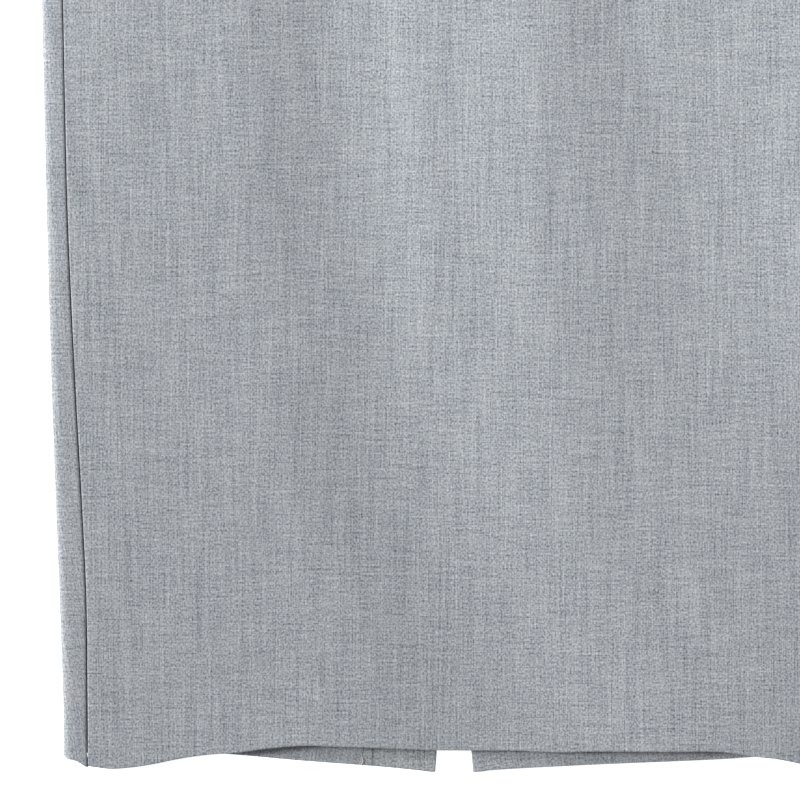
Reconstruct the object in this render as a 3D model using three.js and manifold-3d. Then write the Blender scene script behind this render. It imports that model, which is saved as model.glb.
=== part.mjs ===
// A knee-length pencil skirt of light grey wool suiting, laid flat on a surface with its front up.
// Millimetres, +Z up. +Y runs from the hem to the waist, +X to the wearer's left.
// "up" is a height on the skirt, measured along +Y from the centre of the front hem.
import * as THREE from "three";
import Module from "manifold-3d";

const wasm = await Module();
wasm.setup();

// Driving dimensions
const frontLength = 630;
const backLength = 639;
const waistDip = 15;
const backWaistDip = 6;
const bandHeight = 35;
const clothWall = 1.2;
const foldedWall = 2 * clothWall;
const seamGap = 0.3;
const hemTurnUp = 40;
const turnWidth = 7;
const turnPower = 0.667;
const hemCurve = 1.6;
const edgeRounding = 0.5;
const slitLength = 170;
const slitHalfGap = 10.5;
const slitCurve = 1.3;
const facingWidth = 41.4;
const facingLength = 200;
const dartLength = 95;
const dartShare = 0.46;
const dartDepth = 0.5;
const dartHalfWidth = 1.6;
const zipLength = 180;
const tapeWidth = 7.5;
const backTapeWidth = 3.2;
const tapeWall = 0.8;
const tapeBelowTop = 3;
const sliderBelowTop = 9;
const sliderSlot = 1.8;
const slotLength = 30;
const slotEase = 15;
const pullTilt = -3;

// How finely the walls are divided
const frontRowCount = 22;
const backRowCount = 16;
const frontColumnCount = 15;
const floorColumnCount = 10;
const turnColumnCount = 10;
const tapeRowCount = 14;
const hemRowHeight = 1.5;
const besideSlit = 20;

// How far the outer face dips into a side seam, at distances from the face's edge
const seamDip = [
  { off: 0, dip: 0.6 },
  { off: 1, dip: 0.15 },
  { off: 3, dip: 0 },
];
const deepestDip = seamDip[0].dip;

// The hem climbs from the floor to the side seam: this share of it round the fold, the rest over this width
const climbRoundFold = 0.7;
const climbOverTop = 12;

// Half of the skirt's width, how far its side seams lie in from the side folds, and how high the folds stand
const outline = [
  { up: -14, half: 220.1, inset: 13.4, rightRise: 8.6, leftRise: 11 },
  { up: 28, half: 220.7, inset: 13.6, rightRise: 8.6, leftRise: 11.4 },
  { up: 85, half: 222.7, inset: 15, rightRise: 9.4, leftRise: 11.8 },
  { up: 141, half: 224.9, inset: 14.6, rightRise: 9.9, leftRise: 12.4 },
  { up: 197, half: 227, inset: 13.6, rightRise: 10.4, leftRise: 12.8 },
  { up: 254, half: 228.7, inset: 12.5, rightRise: 10.8, leftRise: 13 },
  { up: 310, half: 230.1, inset: 11.7, rightRise: 11.2, leftRise: 13 },
  { up: 423, half: 232.6, inset: 11.8, rightRise: 11.8, leftRise: 13 },
  { up: 450, half: 233, inset: 11.8, rightRise: 11.9, leftRise: 13 },
  { up: 478, half: 231.5, inset: 11.6, rightRise: 12, leftRise: 12.9 },
  { up: 513, half: 226.1, inset: 11.3, rightRise: 12, leftRise: 12.6 },
  { up: 547, half: 216.1, inset: 11.2, rightRise: 12, leftRise: 12.2 },
  { up: 577, half: 203.9, inset: 11, rightRise: 12, leftRise: 12 },
  { up: 597, half: 195.6, inset: 11, rightRise: 12, leftRise: 12 },
  { up: 630, half: 183.5, inset: 11, rightRise: 12, leftRise: 12 },
  { up: 660, half: 173.6, inset: 11, rightRise: 12, leftRise: 12 },
];

// Soft folds of the front: where a shoulder, a valley, a ridge and a hollow lie across it
const foldPlaces = [
  { up: -14, shoulder: -48, valley: 24, ridge: 148, hollow: 176 },
  { up: 31, shoulder: -56, valley: 16, ridge: 142, hollow: 170 },
  { up: 85, shoulder: -74, valley: -1, ridge: 118, hollow: 148 },
  { up: 144, shoulder: -102, valley: -28, ridge: 86, hollow: 120 },
  { up: 206, shoulder: -108, valley: -40, ridge: 74, hollow: 124 },
  { up: 268, shoulder: -126, valley: -52, ridge: 66, hollow: 132 },
  { up: 331, shoulder: -126, valley: -58, ridge: 57, hollow: 132 },
  { up: 400, shoulder: -130, valley: -64, ridge: 52, hollow: 108 },
  { up: 450, shoulder: -138, valley: -74, ridge: 50, hollow: 104 },
  { up: 520, shoulder: -134, valley: -76, ridge: 50, hollow: 104 },
  { up: 597, shoulder: -118, valley: -44, ridge: 38, hollow: 108 },
  { up: 650, shoulder: -110, valley: -40, ridge: 36, hollow: 104 },
];

// and how high the outer face is there
const foldTops = [
  { up: -14, shoulder: 8.8, valley: 6, ridge: 11.4, hollow: 11.6 },
  { up: 31, shoulder: 8.8, valley: 5.8, ridge: 11.6, hollow: 11.8 },
  { up: 85, shoulder: 8.7, valley: 5.1, ridge: 10.6, hollow: 11.6 },
  { up: 144, shoulder: 9.1, valley: 4.9, ridge: 11.2, hollow: 11.8 },
  { up: 206, shoulder: 9.1, valley: 4.8, ridge: 11.8, hollow: 11.4 },
  { up: 268, shoulder: 9.3, valley: 4.8, ridge: 12.5, hollow: 10.6 },
  { up: 331, shoulder: 9.8, valley: 4.8, ridge: 13, hollow: 9.8 },
  { up: 400, shoulder: 10.4, valley: 5, ridge: 13.7, hollow: 10.2 },
  { up: 450, shoulder: 11.2, valley: 6.4, ridge: 13.9, hollow: 11 },
  { up: 520, shoulder: 12.3, valley: 9.6, ridge: 14.2, hollow: 12.2 },
  { up: 597, shoulder: 13.4, valley: 14, ridge: 14.8, hollow: 14 },
  { up: 650, shoulder: 13.6, valley: 14.8, ridge: 15, hollow: 14 },
];

// How far the front hem hangs below its centre, across the front
const frontHem = [
  { across: -208, dip: 9.2 },
  { across: -195, dip: 10.8 },
  { across: -183, dip: 9.9 },
  { across: -171, dip: 8.1 },
  { across: -160, dip: 5.8 },
  { across: -149, dip: 3.9 },
  { across: -137, dip: 2.5 },
  { across: -125, dip: 1.8 },
  { across: -115, dip: 0.5 },
  { across: -104, dip: -0.9 },
  { across: -92, dip: -2 },
  { across: -81, dip: -2.3 },
  { across: -69, dip: -1.8 },
  { across: -47, dip: -1.2 },
  { across: -30, dip: -0.4 },
  { across: -10, dip: 0.3 },
  { across: 37, dip: 0.7 },
  { across: 49, dip: 1.2 },
  { across: 64, dip: 1.5 },
  { across: 82, dip: 1 },
  { across: 126, dip: 1.1 },
  { across: 141, dip: 0.8 },
  { across: 152, dip: 1.1 },
  { across: 161, dip: 2.2 },
  { across: 172, dip: 3.9 },
  { across: 184, dip: 5.3 },
  { across: 200, dip: 8.4 },
  { across: 208, dip: 9.4 },
];

// The same for the back hem, across the floor from one side fold to the other
const backHem = [
  { across: -213, dip: 2.2 },
  { across: -160, dip: 1.4 },
  { across: -132, dip: 2.3 },
  { across: -87, dip: 6.2 },
  { across: -42, dip: 9.6 },
  { across: -19, dip: 11.8 },
  { across: -11, dip: 12.8 },
  { across: 11, dip: 12.8 },
  { across: 20, dip: 11.8 },
  { across: 37, dip: 10.7 },
  { across: 82, dip: 8.5 },
  { across: 150, dip: 5.6 },
  { across: 185, dip: 3.2 },
  { across: 213, dip: 2.2 },
];

const ease = (t) => t * t * (3 - 2 * t);
const mix = (a, b, t) => a + (b - a) * t;

// A smooth line through a table's rows, read where the key column has the given value
function readTable(table, key, column, at) {
  const last = table.length - 1;
  const place = Math.min(Math.max(at, table[0][key]), table[last][key]);
  let i = 0;
  while (i < last - 1 && table[i + 1][key] < place) i += 1;
  const slope = (row) => {
    const before = table[Math.max(row - 1, 0)];
    const after = table[Math.min(row + 1, last)];
    return (after[column] - before[column]) / (after[key] - before[key]);
  };
  const span = table[i + 1][key] - table[i][key];
  const t = (place - table[i][key]) / span;
  const ends = mix(table[i][column], table[i + 1][column], ease(t));
  const leaving = (t ** 3 - 2 * t ** 2 + t) * span * slope(i);
  const arriving = (t ** 3 - t ** 2) * span * slope(i + 1);
  return ends + leaving + arriving;
}

const half = (up) => readTable(outline, "up", "half", up);
const rise = (up, side) => readTable(outline, "up", side > 0 ? "leftRise" : "rightRise", up);
const seamAcross = (up) => half(up) - readTable(outline, "up", "inset", up);
const floorRun = half(0) - turnWidth;
const sideTop = frontLength + waistDip;
const slitBottom = -readTable(backHem, "across", "dip", slitHalfGap);

// The height of the front's outer face, easing from each fold line to the next
function frontTop(across, up) {
  const edge = seamAcross(up);
  const folds = ["shoulder", "valley", "ridge", "hollow"].map((fold) => [
    readTable(foldPlaces, "up", fold, up),
    readTable(foldTops, "up", fold, up),
  ]);
  const lines = [[-edge, rise(up, -1)], ...folds, [edge, rise(up, 1)]];
  const place = Math.min(Math.max(across, -edge), edge);
  let i = 0;
  while (i < lines.length - 2 && lines[i + 1][0] < place) i += 1;
  const share = (place - lines[i][0]) / (lines[i + 1][0] - lines[i][0]);
  return mix(lines[i][1], lines[i + 1][1], ease(share));
}

// The seams at the side open a little round the zip slider, on the wearer's left
function sideGap(up, withZip) {
  const nearTop = Math.min(Math.max((up - (sideTop - slotLength)) / slotEase, 0), 1);
  return mix(seamGap, withZip ? sliderSlot : seamGap, ease(nearTop)) / 2;
}

// Half of the gap between the two backs: the slit at the hem, then the centre back seam
function backGap(up) {
  const share = Math.max(1 - (up - slitBottom) / slitLength, 0);
  return seamGap / 2 + slitHalfGap * share ** slitCurve;
}

// Even steps between two values, both ends included
function steps(from, to, count) {
  return Array.from({ length: count + 1 }, (_, i) => mix(from, to, i / count));
}

// A closed wall of cloth. place(column, row) is a point of its outer face, thickness(column, row) its depth.
// Columns and rows run so that columns x rows point out of the cloth.
function clothWallGeometry(columns, rows, place, thickness) {
  const outer = rows.map((row) => columns.map((column) => place(column, row)));
  const wide = columns.length;
  const high = rows.length;
  const inner = outer.map((line, r) =>
    line.map((point, c) => {
      const across = line[Math.min(c + 1, wide - 1)].clone().sub(line[Math.max(c - 1, 0)]);
      const along = outer[Math.min(r + 1, high - 1)][c].clone().sub(outer[Math.max(r - 1, 0)][c]);
      const outward = across.cross(along).normalize();
      return point.clone().addScaledVector(outward, -thickness(columns[c], rows[r]));
    }),
  );
  const points = [...outer.flat(), ...inner.flat()];
  const faces = [];
  const quad = (a, b, c, d) => faces.push(a, b, c, a, c, d);
  const at = (layer, r, c) => layer * wide * high + r * wide + c;
  for (let r = 0; r < high - 1; r += 1) {
    for (let c = 0; c < wide - 1; c += 1) {
      quad(at(0, r, c), at(0, r, c + 1), at(0, r + 1, c + 1), at(0, r + 1, c));
      quad(at(1, r, c), at(1, r + 1, c), at(1, r + 1, c + 1), at(1, r, c + 1));
    }
    quad(at(0, r, 0), at(0, r + 1, 0), at(1, r + 1, 0), at(1, r, 0));
    quad(at(0, r, wide - 1), at(1, r, wide - 1), at(1, r + 1, wide - 1), at(0, r + 1, wide - 1));
  }
  for (let c = 0; c < wide - 1; c += 1) {
    quad(at(0, 0, c), at(1, 0, c), at(1, 0, c + 1), at(0, 0, c + 1));
    quad(at(0, high - 1, c), at(0, high - 1, c + 1), at(1, high - 1, c + 1), at(1, high - 1, c));
  }
  const geometry = new THREE.BufferGeometry();
  const places = points.flatMap((point) => point.toArray());
  geometry.setAttribute("position", new THREE.Float32BufferAttribute(places, 3));
  geometry.setIndex(faces);
  return geometry;
}

// A row is a share of the way from a panel's hem to its waist seam. round is how far the face is taken in
// at an edge, and folded says that the cloth is double there.
function panelRows(evenRows) {
  const length = frontLength - bandHeight;
  const turned = [
    { share: 0, round: edgeRounding, folded: true },
    { share: hemRowHeight / length, round: 0, folded: true },
    { share: hemTurnUp / 2 / length, round: 0, folded: true },
    { share: (hemTurnUp - 1) / length, round: 0, folded: true },
    { share: (hemTurnUp + 1) / length, round: 0, folded: false },
  ];
  const single = steps((2 * hemTurnUp) / length, 1, evenRows);
  const rest = single.map((share) => ({ share, round: 0, folded: false }));
  return [...turned, ...rest];
}

const bandRows = [
  { share: 0, round: 0.2 },
  { share: 0.06, round: 0 },
  { share: 0.5, round: 0 },
  { share: 0.94, round: 0 },
  { share: 1, round: edgeRounding },
];

// The depth of a dart's stitched line, which runs from the waist seam to its tip
function dartGroove(across, up) {
  const seam = frontLength - bandHeight;
  const run = Math.min(Math.max((up - (seam - dartLength)) / dartLength, 0), 1);
  const line = dartShare * seamAcross(up);
  const off = Math.abs(Math.abs(across) - line) / dartHalfWidth;
  return dartDepth * Math.sqrt(run) * Math.max(1 - off, 0);
}

// Columns of the front from side seam to side seam. roll is how far the face dips into the seam beside it.
function frontColumns(withDarts) {
  const edges = seamDip.map(({ off, dip }) => ({ share: 1, roll: dip, trim: off }));
  const edgeShare = 0.955;
  const clearOfDart = 0.02;
  const beside = dartHalfWidth / seamAcross(frontLength);
  const dart = withDarts ? [dartShare - beside, dartShare, dartShare + beside] : [];
  const isClear = (share) => dart.every((line) => Math.abs(line - share) > clearOfDart);
  const even = steps(0, edgeShare, frontColumnCount).filter(isClear);
  const shares = [...even, ...dart].sort((a, b) => a - b);
  const right = [...shares.map((share) => ({ share, roll: 0, trim: 0 })), ...edges.toReversed()];
  const left = right.slice(1).map((column) => ({ ...column, share: -column.share })).toReversed();
  return [...left, ...right];
}

// A point of the front's outer face, between the lines low(share) and high(share), less what groove takes in
function frontPlace(low, high, groove) {
  return (column, row) => {
    const up = mix(low(column.share), high(column.share), row.share);
    const edge = seamAcross(up) - sideGap(up, column.share > 0) - column.trim;
    const across = column.share * edge;
    const top = frontTop(across, up) - column.roll - row.round - groove(across, up);
    return new THREE.Vector3(across, up, top);
  };
}

const frontHemUp = (share) => -readTable(frontHem, "across", "dip", share * seamAcross(0));
const frontSeamUp = (share) => frontLength - bandHeight + waistDip * share ** 2;

function frontPanel() {
  const thickness = (column, row) => (row.folded ? foldedWall : clothWall) - 2 * row.round;
  const place = frontPlace(frontHemUp, (share) => frontSeamUp(share) - seamGap / 2, dartGroove);
  return clothWallGeometry(frontColumns(true), panelRows(frontRowCount), place, thickness);
}

function frontBand() {
  const low = (share) => frontSeamUp(share) + seamGap / 2;
  const high = (share) => frontSeamUp(share) + bandHeight;
  const thickness = (column, row) => foldedWall - 2 * row.round;
  return clothWallGeometry(frontColumns(false), bandRows, frontPlace(low, high, () => 0), thickness);
}

// Columns of a back from its side seam to the centre back: over the top, round the side fold, on the floor.
// turn is an angle round the fold; floor is a share of the run from start millimetres off the centre edge.
function backColumns(starts, floorSteps) {
  const over = seamDip.slice(0, 2).map(({ off, dip }) => ({ kind: "over", trim: off, roll: dip }));
  const turn = steps(90, -90, turnColumnCount).map((angle) => ({ kind: "turn", angle }));
  const shares = steps(1, 0, floorSteps).slice(1, -1);
  const floor = shares.map((share) => ({ kind: "floor", start: starts[0], share }));
  const last = starts.map((start) => ({ kind: "floor", start, share: 0 }));
  return [...over, ...turn, ...floor, ...last];
}

// How far a column lies from the centre back to the side fold
const floorShare = (column) => (column.kind === "floor" ? mix(column.start / floorRun, 1, column.share) : 1);

// and then how far round the fold, to the side seam
function roundShare(column) {
  if (column.kind === "floor") return 0;
  if (column.kind === "turn") return (climbRoundFold * (column.angle + 90)) / 180;
  return 1 - column.trim / climbOverTop;
}

// A circle's sine or cosine, pressed towards the corners of a square
const squared = (value) => Math.sign(value) * Math.abs(value) ** turnPower;

// A point of a back's outer face on the wearer's left, from the heights of its lower and upper edges
function backPlace(low, high, gap, side) {
  return (column, row) => {
    const up = mix(low(column), high(column), row.share);
    const straight = half(up) - turnWidth;
    const centre = gap(up);
    if (column.kind === "floor") {
      const across = mix(centre + column.start, straight, column.share);
      return new THREE.Vector3(across, up, row.round);
    }
    const tall = rise(up, side) / 2;
    if (column.kind === "turn") {
      const angle = THREE.MathUtils.degToRad(column.angle);
      const across = straight + (turnWidth - row.round) * squared(Math.cos(angle));
      return new THREE.Vector3(across, up, tall + (tall - row.round) * squared(Math.sin(angle)));
    }
    const across = seamAcross(up) + sideGap(up, side > 0) + column.trim;
    return new THREE.Vector3(across, up, 2 * tall - column.roll - row.round);
  };
}

// The same points on the wearer's right, seen in a mirror
function mirrored(geometry) {
  const copy = geometry.clone().scale(-1, 1, 1);
  const index = copy.index.array;
  for (let i = 0; i < index.length; i += 3) {
    [index[i + 1], index[i + 2]] = [index[i + 2], index[i + 1]];
  }
  return copy;
}

function backHemUp(side) {
  const atSeam = frontHemUp(side);
  return (column) => {
    const across = mix(slitHalfGap, floorRun, floorShare(column));
    const onFloor = -readTable(backHem, "across", "dip", side * across);
    return mix(onFloor, atSeam, roundShare(column) ** hemCurve);
  };
}

const backSeamUp = (column) => backLength - bandHeight + backWaistDip * floorShare(column) ** 2;

// side is 1 for the wearer's left and -1 for the right, whose slit has a facing in place of the turned hem
function backPanel(side) {
  const besideFacing = [facingWidth + 1, facingWidth + seamGap];
  const starts = side > 0 ? [besideSlit, 0] : [...besideFacing, besideSlit, 0];
  const columns = backColumns(starts, side > 0 ? floorColumnCount : floorColumnCount - 1);
  const faced = (column) => side < 0 && column.share === 0 && column.start <= facingWidth + seamGap;
  const thickness = (column, row) => {
    if (faced(column)) return clothWall - row.round;
    return (row.folded ? foldedWall : clothWall) - 2 * row.round;
  };
  const low = backHemUp(side);
  const high = (column) => backSeamUp(column) - seamGap / 2;
  const place = backPlace(low, high, backGap, side);
  const geometry = clothWallGeometry(columns, panelRows(backRowCount), place, thickness);
  return side > 0 ? geometry : mirrored(geometry);
}

// The band of the back is one piece, from side seam to side seam
function backBand() {
  const leftColumns = backColumns([0], floorColumnCount).map((column) => ({ ...column, side: 1 }));
  const rightColumns = leftColumns.slice(0, -1).map((column) => ({ ...column, side: -1 })).toReversed();
  const low = (column) => backSeamUp(column) + seamGap / 2;
  const high = (column) => backSeamUp(column) + bandHeight;
  const place = (column, row) => {
    const point = backPlace(low, high, () => 0, column.side)(column, row);
    return point.setX(point.x * column.side);
  };
  const thickness = (column, row) => foldedWall - 2 * row.round;
  return clothWallGeometry([...leftColumns, ...rightColumns], bandRows, place, thickness);
}

// The facing lies on the inside of the right back, turned back from the slit's edge
function slitFacing() {
  const low = (off) => -readTable(backHem, "across", "dip", -(slitHalfGap + off)) + edgeRounding;
  const place = (off, share) => {
    const up = mix(low(off), slitBottom + facingLength, share);
    const across = -(backGap(up) + off);
    return new THREE.Vector3(across, up, foldedWall + seamGap);
  };
  const columns = steps(facingWidth, 0, 4);
  return clothWallGeometry(columns, steps(0, 1, 10), place, () => clothWall);
}

const zipRows = steps(sideTop - zipLength, sideTop - tapeBelowTop, tapeRowCount);

// How deep the wall is over the zip tape: the doubled band, then the single panel
function wallOverTape(up) {
  const thickens = 10;
  const belowSeam = 2;
  const doubled = sideTop - bandHeight - belowSeam;
  const share = Math.min(Math.max((up - doubled) / thickens + 1, 0), 1);
  return mix(clothWall, foldedWall, ease(share));
}

// The tapes hang from the cloth on either side of the side opening, just inside it
function frontTape() {
  const place = (off, up) => {
    const across = seamAcross(up) - sliderSlot / 2 - off;
    const top = Math.min(frontTop(across, up), rise(up, 1) - deepestDip) - wallOverTape(up) - seamGap;
    return new THREE.Vector3(across, up, top);
  };
  return clothWallGeometry(steps(tapeWidth, 0, 2), zipRows, place, () => tapeWall);
}

function backTape() {
  const place = (off, up) => {
    const across = seamAcross(up) + sliderSlot / 2 + off;
    return new THREE.Vector3(across, up, rise(up, 1) - deepestDip - wallOverTape(up) - seamGap);
  };
  return clothWallGeometry(steps(0, backTapeWidth, 1), zipRows, place, () => tapeWall);
}

// A manifold-3d solid of a closed geometry, and back, to join two shapes into one piece
function toSolid(geometry) {
  const bare = geometry.index ? geometry.toNonIndexed() : geometry;
  const merged = new Map();
  const points = [];
  const corners = [];
  const position = bare.getAttribute("position");
  for (let i = 0; i < position.count; i += 1) {
    const point = [position.getX(i), position.getY(i), position.getZ(i)];
    const name = point.map((value) => Math.round(value * 1e4)).join();
    if (!merged.has(name)) {
      merged.set(name, points.length / 3);
      points.push(...point);
    }
    corners.push(merged.get(name));
  }
  const mesh = { numProp: 3, vertProperties: new Float32Array(points), triVerts: new Uint32Array(corners) };
  return new wasm.Manifold(new wasm.Mesh(mesh));
}

function toGeometry(solid) {
  const mesh = solid.getMesh();
  const geometry = new THREE.BufferGeometry();
  geometry.setAttribute("position", new THREE.Float32BufferAttribute(mesh.vertProperties, 3));
  geometry.setIndex(new THREE.Uint32BufferAttribute(mesh.triVerts, 1));
  return geometry;
}

// The zip's small parts are drawn in the slider's frame: x across the zip, y down it, z away from the cloth.
const bail = { reach: 2.2, wall: 0.9, bar: 0.75, low: 0.3, high: 3.2, thick: 1, chamfer: 0.6, neck: 1.4 };
const sliderBody = { wide: 4.6, long: 8.5, deep: 1.7, corner: 1.2, taper: 0.5, below: 1, overlap: 0.1 };
const pivotHeight = (bail.low + bail.high) / 2;
const pull = {
  long: 19,
  wide: 4.4,
  wall: 0.8,
  bar: 0.9,
  window: 3.5,
  windowHalf: 1.15,
  shoulderHalf: 1.7,
  eyeHalf: 1.8,
  eyeLong: 4.3,
  waistHalf: 1.1,
  waistDown: 8,
  gripDown: 12,
  tipDown: 15.6,
};

// A shape drawn down the zip and away from the cloth, given its thickness across the zip
function acrossZip(shape, thick) {
  const geometry = new THREE.ExtrudeGeometry(shape, { depth: thick, bevelEnabled: false, curveSegments: 5 });
  geometry.translate(0, 0, -thick / 2);
  geometry.applyMatrix4(new THREE.Matrix4().makeBasis(
    new THREE.Vector3(0, 1, 0),
    new THREE.Vector3(0, 0, 1),
    new THREE.Vector3(1, 0, 0),
  ));
  return geometry;
}

// The slider's body runs inside the cloth. Its neck comes out between the edges and ends in the bail.
function zipSlider(inside) {
  const outlineOfNeck = new THREE.Shape([
    new THREE.Vector2(-bail.neck, -inside),
    new THREE.Vector2(bail.neck, -inside),
    new THREE.Vector2(bail.neck, bail.low),
    new THREE.Vector2(bail.reach, bail.low),
    new THREE.Vector2(bail.reach, bail.high - bail.chamfer),
    new THREE.Vector2(bail.reach - bail.chamfer, bail.high),
    new THREE.Vector2(bail.chamfer - bail.reach, bail.high),
    new THREE.Vector2(-bail.reach, bail.high - bail.chamfer),
    new THREE.Vector2(-bail.reach, bail.low),
    new THREE.Vector2(-bail.neck, bail.low),
  ]);
  const hole = new THREE.Path([
    new THREE.Vector2(bail.wall - bail.reach, bail.low + bail.bar),
    new THREE.Vector2(bail.wall - bail.reach, bail.high - bail.bar),
    new THREE.Vector2(bail.reach - bail.wall, bail.high - bail.bar),
    new THREE.Vector2(bail.reach - bail.wall, bail.low + bail.bar),
  ]);
  outlineOfNeck.holes.push(hole);
  const loop = toSolid(acrossZip(outlineOfNeck, bail.thick));
  const { corner, taper } = sliderBody;
  const wide = sliderBody.wide / 2;
  const long = sliderBody.long / 2;
  const plan = new THREE.Shape();
  plan.moveTo(corner - wide, -long);
  plan.lineTo(wide - corner, -long);
  plan.quadraticCurveTo(wide, -long, wide, corner - long);
  plan.lineTo(wide - taper, long);
  plan.lineTo(taper - wide, long);
  plan.lineTo(-wide, corner - long);
  plan.quadraticCurveTo(-wide, -long, corner - wide, -long);
  const depth = sliderBody.deep;
  const block = new THREE.ExtrudeGeometry(plan, { depth, bevelEnabled: false, curveSegments: 4 });
  block.translate(0, sliderBody.below, sliderBody.overlap - inside - sliderBody.deep);
  return toGeometry(loop.add(toSolid(block)));
}

// The pull tab: a bar through the bail, a window round it and a leaf-shaped grip, drawn about the bar
function zipPull() {
  const shape = new THREE.Shape();
  const { shoulderHalf, eyeHalf, eyeLong, waistHalf, waistDown, gripDown, tipDown } = pull;
  const wideHalf = pull.wide / 2;
  shape.moveTo(-shoulderHalf, -pull.bar / 2);
  shape.lineTo(shoulderHalf, -pull.bar / 2);
  shape.lineTo(eyeHalf, eyeLong);
  shape.bezierCurveTo(waistHalf, waistDown, wideHalf, gripDown, wideHalf, tipDown);
  shape.quadraticCurveTo(wideHalf, pull.long, 0, pull.long);
  shape.quadraticCurveTo(-wideHalf, pull.long, -wideHalf, tipDown);
  shape.bezierCurveTo(-wideHalf, gripDown, -waistHalf, waistDown, -eyeHalf, eyeLong);
  shape.closePath();
  const window = new THREE.Path([
    new THREE.Vector2(-pull.windowHalf, pull.bar / 2),
    new THREE.Vector2(-pull.windowHalf, pull.window),
    new THREE.Vector2(pull.windowHalf, pull.window),
    new THREE.Vector2(pull.windowHalf, pull.bar / 2),
  ]);
  shape.holes.push(window);
  const depth = pull.wall;
  const geometry = new THREE.ExtrudeGeometry(shape, { depth, bevelEnabled: false, curveSegments: 6 });
  return geometry.translate(0, 0, -pull.wall / 2);
}

const cloth = new THREE.MeshStandardMaterial({ color: 0x9ea3a9, roughness: 0.92, metalness: 0 });
const clothInside = new THREE.MeshStandardMaterial({ color: 0x94989e, roughness: 0.95, metalness: 0 });
const tape = new THREE.MeshStandardMaterial({ color: 0x8c9095, roughness: 0.9, metalness: 0 });
const metal = new THREE.MeshStandardMaterial({ color: 0xa6a9ad, roughness: 0.35, metalness: 0.8 });

function piece(name, geometry, material) {
  const mesh = new THREE.Mesh(geometry, material);
  mesh.name = name;
  return mesh;
}

// The slider's frame, on the outer face at the side opening just below the waist's top edge
function sliderFrame() {
  const up = sideTop - sliderBelowTop;
  const slopeRun = 12;
  const point = (height) => new THREE.Vector3(seamAcross(height), height, rise(height, 1));
  const down = new THREE.Vector3().subVectors(point(up - slopeRun), point(up)).normalize();
  const away = new THREE.Vector3(0, 0, 1);
  away.addScaledVector(down, -away.dot(down)).normalize();
  const across = new THREE.Vector3().crossVectors(down, away);
  const frame = new THREE.Group();
  frame.applyMatrix4(new THREE.Matrix4().makeBasis(across, down, away).setPosition(point(up)));
  return frame;
}

const skirt = new THREE.Group();
skirt.add(
  piece("front_panel", frontPanel(), cloth),
  piece("back_panel_left", backPanel(1), cloth),
  piece("back_panel_right", backPanel(-1), cloth),
  piece("slit_facing", slitFacing(), clothInside),
  piece("waistband_front", frontBand(), cloth),
  piece("waistband_back", backBand(), cloth),
  piece("zip_tape_front", frontTape(), tape),
  piece("zip_tape_back", backTape(), tape),
);

const zip = sliderFrame();
const insideTapes = foldedWall + deepestDip + tapeWall + 2 * seamGap;
const tab = new THREE.Group();
tab.position.z = pivotHeight;
tab.rotation.x = THREE.MathUtils.degToRad(pullTilt);
tab.add(piece("zip_pull", zipPull(), metal));
zip.add(piece("zip_slider", zipSlider(insideTapes), metal), tab);
skirt.add(zip);

// The origin is under the middle of the skirt, on the surface that it lies on
const box = new THREE.Box3().setFromObject(skirt);
skirt.position.y = -(box.min.y + box.max.y) / 2;

export default skirt;
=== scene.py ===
# %% [markdown]
# # A pencil skirt laid flat
#
# This lesson dresses a wool pencil skirt that lies on its back on a white table. The solids of the skirt
# are loaded first and stay as they are: they say where every cut piece lies. Each piece then gets a thin
# cloth of its own on the form of its solid, with a turned hem, rolled seams and a woven wool finish.

# %% Load the skirt's solids
import math

import bmesh
import bpy
import numpy as np
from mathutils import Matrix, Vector


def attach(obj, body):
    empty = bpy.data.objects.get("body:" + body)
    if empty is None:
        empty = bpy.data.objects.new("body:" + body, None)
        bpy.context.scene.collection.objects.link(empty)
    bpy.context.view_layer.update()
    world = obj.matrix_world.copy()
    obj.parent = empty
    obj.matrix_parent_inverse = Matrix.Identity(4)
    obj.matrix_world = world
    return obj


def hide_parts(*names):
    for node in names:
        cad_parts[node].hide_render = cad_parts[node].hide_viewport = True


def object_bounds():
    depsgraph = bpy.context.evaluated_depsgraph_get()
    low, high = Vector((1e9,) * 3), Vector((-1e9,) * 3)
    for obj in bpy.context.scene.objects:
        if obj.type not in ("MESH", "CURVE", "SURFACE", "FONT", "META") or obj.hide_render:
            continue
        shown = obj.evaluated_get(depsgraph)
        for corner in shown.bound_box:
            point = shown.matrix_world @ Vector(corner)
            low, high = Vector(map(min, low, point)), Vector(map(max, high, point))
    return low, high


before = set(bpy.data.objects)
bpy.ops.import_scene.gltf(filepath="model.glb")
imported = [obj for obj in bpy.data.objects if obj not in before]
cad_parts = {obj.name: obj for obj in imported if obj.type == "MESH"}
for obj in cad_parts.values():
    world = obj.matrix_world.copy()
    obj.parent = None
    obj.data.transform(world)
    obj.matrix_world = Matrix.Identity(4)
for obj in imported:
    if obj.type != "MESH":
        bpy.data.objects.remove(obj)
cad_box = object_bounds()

SKIRT = "skirt"
PULL = "pull"
MM = 0.001
low_corner, high_corner = cad_box
print("skirt size in mm:", [round(side / MM, 1) for side in high_corner - low_corner])

# %% [markdown]
# ## The pattern in numbers
#
# A pattern cutter writes a skirt down as a few widths at a few heights, and so do these tables. "up" is the
# height on the skirt in millimetres, from about the middle of the front hem towards the waist. The outline
# gives half the width, how far the side seam lies in from the side fold, and how high the fold stands on each
# side. Two more tables place the soft folds that the front falls into when it is laid down. The last two say
# how far each hem drops below that middle.

# %% Tables of the outline and the folds
def table(columns, rows):
    return dict(zip(columns.split(), np.array(rows, float).T))


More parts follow.
